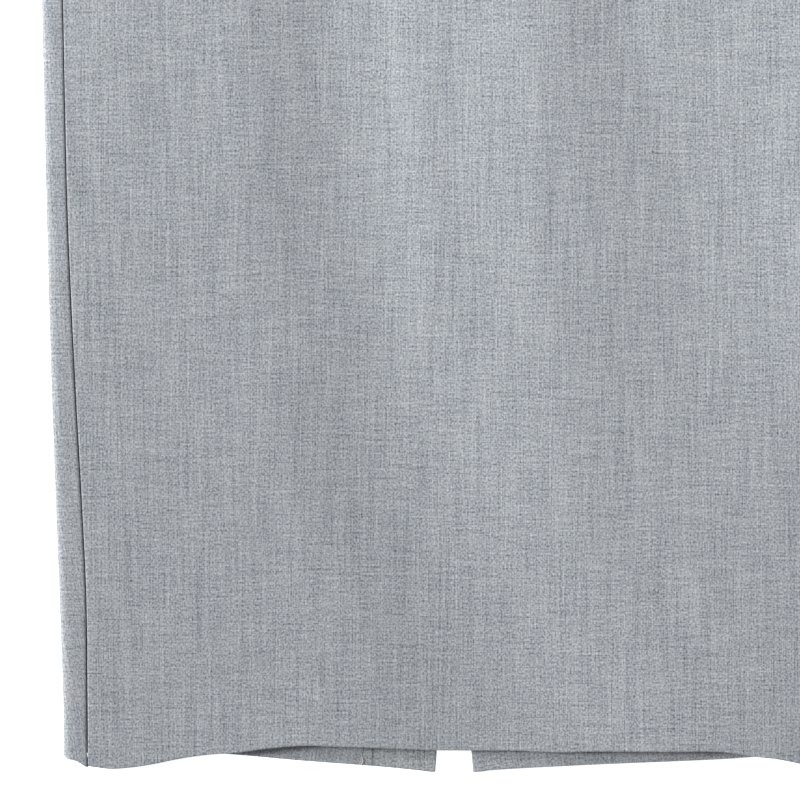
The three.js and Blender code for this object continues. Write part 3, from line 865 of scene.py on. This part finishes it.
# %% [markdown]
# ## The wool
#
# The cloth is a plain weave of melange yarn: pale and slate fibres are blended before they are spun, so
# each thread changes tone along its length. Long runs of warp show as faint upright streaks, shorter runs of
# weft cross them, and every crossing has a tone of its own. One node group works this out from the cloth's
# own UV metres and puts out a share of pale fibre and a height. Each material then mixes its two fibre
# colours by that share.

# %% Helpers that place nodes
def put(tree, kind, inputs=(), **settings):
    node = tree.nodes.new(kind)
    for name, value in settings.items():
        setattr(node, name, value)
    for socket, value in dict(inputs).items():
        if isinstance(value, bpy.types.NodeSocket):
            tree.links.new(value, node.inputs[socket])
        else:
            node.inputs[socket].default_value = value
    return node


def math_node(tree, operation, a, b=0.0, c=0.0):
    return put(tree, "ShaderNodeMath", {0: a, 1: b, 2: c}, operation=operation).outputs[0]


def vector_math(tree, operation, inputs):
    return put(tree, "ShaderNodeVectorMath", inputs, operation=operation).outputs[0]


def noise_at(tree, place, scale, detail, output="Fac"):
    inputs = {"Vector": place, "Scale": scale, "Detail": detail}
    return put(tree, "ShaderNodeTexNoise", inputs).outputs[output]


def stretched_noise(tree, cloth, stretch):
    return noise_at(tree, vector_math(tree, "MULTIPLY", {0: cloth, 1: stretch}), 1.0, 2.0)


def two_tones(tree, share, dark, light):
    colours = {0: share, 6: (*dark, 1), 7: (*light, 1)}
    return put(tree, "ShaderNodeMix", colours, data_type="RGBA").outputs[2]


# %% [markdown]
# The group starts with millimetres of cloth, which wander a little because no thread runs quite straight.
# The sine of the warp count times that of the weft count says which thread is on top at each crossing. Each
# thread takes its tone from a noise along its own length, and flecks and faint clouds are added to it.

# %% Build the weave as a node group
THREAD = 0.45
WANDER = 0.35
WARP_RUN = 0.014
WEFT_RUN = 0.03
FLECK_STRETCH = (0.95, 0.78, 1.0)
CLOUD_STRETCH = (0.09, 0.045, 1.0)
FUZZ_STRETCH = (3.4, 3.4, 1.0)


def new_group(name, sockets_in, sockets_out):
    group = bpy.data.node_groups.new(name, "ShaderNodeTree")
    for label, kind, value in sockets_in:
        socket = group.interface.new_socket(label, in_out="INPUT", socket_type=kind)
        if value is not None:
            socket.default_value = value
    for label, kind in sockets_out:
        group.interface.new_socket(label, in_out="OUTPUT", socket_type=kind)
    return group, group.nodes.new("NodeGroupInput"), group.nodes.new("NodeGroupOutput")


weave, weave_in, weave_out = new_group(
    "melange_weave",
    [
        ("Cloth", "NodeSocketVector", None),
        ("Thread", "NodeSocketFloat", THREAD),
        ("Warp", "NodeSocketFloat", 1.6),
        ("Weft", "NodeSocketFloat", 1.5),
        ("Flecks", "NodeSocketFloat", 2.4),
        ("Clouds", "NodeSocketFloat", 0.1),
    ],
    [("Pale", "NodeSocketFloat"), ("Height", "NodeSocketFloat")],
)
to_mm = vector_math(weave, "SCALE", {0: weave_in.outputs["Cloth"], "Scale": 1 / MM})
wander = noise_at(weave, to_mm, 0.3, 1.0, "Color")
wander = vector_math(weave, "SUBTRACT", {0: wander, 1: (0.5, 0.5, 0.5)})
wander = vector_math(weave, "SCALE", {0: wander, "Scale": WANDER})
laid = vector_math(weave, "ADD", {0: to_mm, 1: wander})
parts = put(weave, "ShaderNodeSeparateXYZ", {0: laid})
warp = math_node(weave, "DIVIDE", parts.outputs["X"], weave_in.outputs["Thread"])
weft = math_node(weave, "DIVIDE", parts.outputs["Y"], weave_in.outputs["Thread"])
warp_wave = math_node(weave, "SINE", math_node(weave, "MULTIPLY", warp, math.pi))
weft_wave = math_node(weave, "SINE", math_node(weave, "MULTIPLY", weft, math.pi))
crossing = math_node(weave, "MULTIPLY", warp_wave, weft_wave)
warp_over = put(weave, "ShaderNodeMapRange", {0: crossing, 1: -0.25, 2: 0.25, 3: 0.0, 4: 1.0}).outputs[0]


def thread_tone(across, along, run, gain):
    number = math_node(weave, "FLOOR", across)
    own = put(weave, "ShaderNodeTexWhiteNoise", {"W": number}, noise_dimensions="1D").outputs["Value"]
    start = math_node(weave, "MULTIPLY", own, 900.0)
    place = math_node(weave, "MULTIPLY_ADD", along, run, start)
    yarn = put(weave, "ShaderNodeTexNoise", {"W": place, "Scale": 1.0, "Detail": 4.0}, noise_dimensions="1D")
    return math_node(weave, "MULTIPLY", math_node(weave, "SUBTRACT", yarn.outputs["Fac"], 0.5), gain)


warp_tone = thread_tone(warp, parts.outputs["Y"], WARP_RUN, weave_in.outputs["Warp"])
weft_tone = thread_tone(weft, parts.outputs["X"], WEFT_RUN, weave_in.outputs["Weft"])
streak = put(weave, "ShaderNodeMix", {0: warp_over, 2: weft_tone, 3: warp_tone}, data_type="FLOAT").outputs[0]
pale = math_node(weave, "ADD", streak, 0.5)
for stretch, gain in ((FLECK_STRETCH, "Flecks"), (CLOUD_STRETCH, "Clouds")):
    patch = math_node(weave, "SUBTRACT", stretched_noise(weave, laid, stretch), 0.5)
    pale = math_node(weave, "MULTIPLY_ADD", patch, weave_in.outputs[gain], pale)
weave.links.new(pale, weave_out.inputs["Pale"])
bulge = math_node(weave, "POWER", math_node(weave, "ABSOLUTE", crossing), 0.6)
fuzz = stretched_noise(weave, laid, FUZZ_STRETCH)
weave.links.new(math_node(weave, "MULTIPLY_ADD", fuzz, 0.6, bulge), weave_out.inputs["Height"])
print("weave nodes:", len(weave.nodes))

# %% [markdown]
# Wool has no shine of its own, but its loose fibres catch light at a grazing angle, so a fold looks paler
# towards its edge. That is the sheen of the shader, set on its own sockets. The facing on the inside has the
# same yarn, a little greyer and painted paler, which stands in for the light that reaches it under the hem.
# The zip's tape is finer and more even.

# %% Make the cloth materials
BUMP_STRENGTH = 0.18
BUMP_DEPTH = 0.12


def new_material(name):
    material = bpy.data.materials.new(name)
    material.use_nodes = True
    tree = material.node_tree
    tree.nodes.clear()
    shader = tree.nodes.new("ShaderNodeBsdfPrincipled")
    output = tree.nodes.new("ShaderNodeOutputMaterial")
    tree.links.new(shader.outputs[0], output.inputs[0])
    return material, tree, shader


def object_place(tree):
    return put(tree, "ShaderNodeTexCoord").outputs["Object"]


def woven(name, slate, light, thread=THREAD, gains=(1.35, 1.15, 1.55, 0.1), sheen=0.08, own_map=True):
    material, tree, shader = new_material(name)
    group = put(tree, "ShaderNodeGroup", node_tree=weave)
    cloth = put(tree, "ShaderNodeUVMap").outputs[0] if own_map else object_place(tree)
    tree.links.new(cloth, group.inputs["Cloth"])
    for label, value in zip(("Thread", "Warp", "Weft", "Flecks", "Clouds"), (thread, *gains)):
        group.inputs[label].default_value = value
    tree.links.new(two_tones(tree, group.outputs["Pale"], slate, light), shader.inputs["Base Color"])
    relief = {"Height": group.outputs["Height"], "Strength": BUMP_STRENGTH, "Distance": BUMP_DEPTH * MM}
    tree.links.new(put(tree, "ShaderNodeBump", relief).outputs[0], shader.inputs["Normal"])
    shader.inputs["Roughness"].default_value = 0.9
    shader.inputs["Specular IOR Level"].default_value = 0.25
    shader.inputs["Sheen Weight"].default_value = sheen
    shader.inputs["Sheen Roughness"].default_value = 0.45
    shader.inputs["Sheen Tint"].default_value = (0.92, 0.95, 1, 1)
    return material


right_side = woven("wool_right_side", (0.078, 0.096, 0.124), (0.582, 0.607, 0.632))
# Painted light: the facing's wool is a paler, greyer copy of the right side, lightened for the light that
# reaches it under the hem.
facing_painted_light = woven("wool_facing_painted_light", (0.082, 0.096, 0.11), (0.635, 0.652, 0.667))
tape_gains = (0.5, 0.5, 0.5, 0.1)
tape_weave = woven("tape_weave", (0.2, 0.215, 0.235), (0.33, 0.35, 0.37), 0.3, tape_gains, 0.1, own_map=False)


def finish_with(material, *pieces):
    for piece in pieces:
        piece.data.materials.clear()
        piece.data.materials.append(material)


finish_with(right_side, front, back_left, back_right, band_front, band_back)
finish_with(facing_painted_light, facing)
finish_with(tape_weave, coil, tape_front, tape_back)

# %% [markdown]
# The zip's metal is painted to match the wool and worn to bright metal at the pull. A fine noise makes the
# paint uneven, in colour and in gloss. The loose threads are plain fibres, pale or dark.

# %% Make the metal and thread materials
metal, tree, shader = new_material("zip_metal_worn")
wear = noise_at(tree, object_place(tree), 900.0, 4.0)
worn = put(tree, "ShaderNodeMapRange", {0: wear, 1: 0.42, 2: 0.62}).outputs[0]
gloss = put(tree, "ShaderNodeMapRange", {0: wear, 1: 0.3, 2: 0.7, 3: 0.48, 4: 0.28}).outputs[0]
tree.links.new(two_tones(tree, worn, (0.36, 0.37, 0.39), (0.52, 0.53, 0.55)), shader.inputs["Base Color"])
tree.links.new(gloss, shader.inputs["Roughness"])
shader.inputs["Metallic"].default_value = 0.85
finish_with(metal, slider, pull)


def matt(name, scale, detail, dark, light, roughness):
    material, tree, shader = new_material(name)
    noise = noise_at(tree, object_place(tree), scale, detail)
    tree.links.new(two_tones(tree, noise, dark, light), shader.inputs["Base Color"])
    shader.inputs["Roughness"].default_value = roughness
    return material, shader


pale_fibre, _ = matt("pale_fibre", 4000.0, 2.0, (0.62, 0.62, 0.6), (0.85, 0.85, 0.83), 0.9)
dark_fibre, _ = matt("dark_fibre", 4000.0, 2.0, (0.05, 0.06, 0.08), (0.14, 0.15, 0.17), 0.9)
finish_with(pale_fibre, lint, thread_end)
finish_with(dark_fibre, knot)
print("materials:", [material.name for material in bpy.data.materials if material.use_nodes])

# %% [markdown]
# ## Table, light and camera
#
# The skirt lies on a white table that is lit until it is nearly as white as paper. It glows a little of its
# own, because a photo like this is exposed for the cloth, and the white round it turns out without a shadow.

# %% Lay the table
TABLE_SIZE = 12
TABLE_BELOW = 0.2
TABLE_GLOW = 0.78
deselect()
bpy.ops.mesh.primitive_plane_add(size=TABLE_SIZE, location=(0, 0, -TABLE_BELOW * MM))
floor = bpy.context.object
floor.name = "table_top"
bpy.ops.object.transform_apply(location=True, rotation=False, scale=False)
paper, shader = matt("white_table", 60.0, 3.0, (0.86, 0.86, 0.855), (0.9, 0.9, 0.895), 0.8)
shader.inputs["Specular IOR Level"].default_value = 0.1
shader.inputs["Emission Color"].default_value = (1, 1, 0.99, 1)
shader.inputs["Emission Strength"].default_value = TABLE_GLOW
finish_with(paper, floor)
print("table:", TABLE_SIZE, "m square")

# %% [markdown]
# A broad lamp stands low at the left, so each soft fold has a bright and a dim side. A white room fills in
# the rest, and a soft box beyond the waist lifts the upper part, which is a little brighter than the hem.

# %% Set the light
ROOM_LIGHT = 0.26
LAMP_HEIGHT = math.radians(21.5)
LAMP_SIDE = math.radians(174)
scene = bpy.context.scene
scene.view_settings.view_transform = "Standard"
world = bpy.data.worlds.new("white_room")
world.use_nodes = True
scene.world = world
world.node_tree.nodes["Background"].inputs["Color"].default_value = (1, 1, 1, 1)
world.node_tree.nodes["Background"].inputs["Strength"].default_value = ROOM_LIGHT


def add_light(name, kind, energy, towards, place=(0, 0, 0)):
    deselect()
    bpy.ops.object.light_add(type=kind, location=place)
    light = bpy.context.object
    light.name = name
    light.data.energy = energy
    light.rotation_mode = "QUATERNION"
    light.rotation_quaternion = towards.to_track_quat("Z", "Y")
    return light


level = math.cos(LAMP_HEIGHT)
towards_lamp = Vector((math.cos(LAMP_SIDE) * level, math.sin(LAMP_SIDE) * level, math.sin(LAMP_HEIGHT)))
lamp = add_light("window", "SUN", 4.2, towards_lamp)
lamp.data.angle = math.radians(12)
box_place = Vector((0, 0.95, 0.9))
soft_box = add_light("soft_box", "AREA", 10.5, box_place - Vector((0, -0.1, 0)), box_place)
soft_box.data.size = 0.6
print("lamp stands", round(math.degrees(LAMP_HEIGHT)), "degrees above the table")

# %% [markdown]
# The camera looks straight down from far away through a long lens, so the flat skirt isn't distorted. Its
# view is as wide as the part of the skirt that the close-up shows.

# %% Set the camera
VIEW_WIDTH = 451.2
VIEW_ACROSS = -30.5
VIEW_UP = 197.4
CAMERA_HEIGHT = 4.0
FOCUS_HEIGHT = 8
SENSOR_WIDTH = 36
camera_data = bpy.data.cameras.new("camera")
camera = bpy.data.objects.new("camera", camera_data)
bpy.context.collection.objects.link(camera)
camera.location = (VIEW_ACROSS * MM, (VIEW_UP - MIDDLE_UP) * MM, CAMERA_HEIGHT + FOCUS_HEIGHT * MM)
camera_data.sensor_width = SENSOR_WIDTH
camera_data.lens = SENSOR_WIDTH * CAMERA_HEIGHT / (VIEW_WIDTH * MM)
camera_data.clip_end = 100
scene.camera = camera
print("lens:", round(camera_data.lens), "mm")
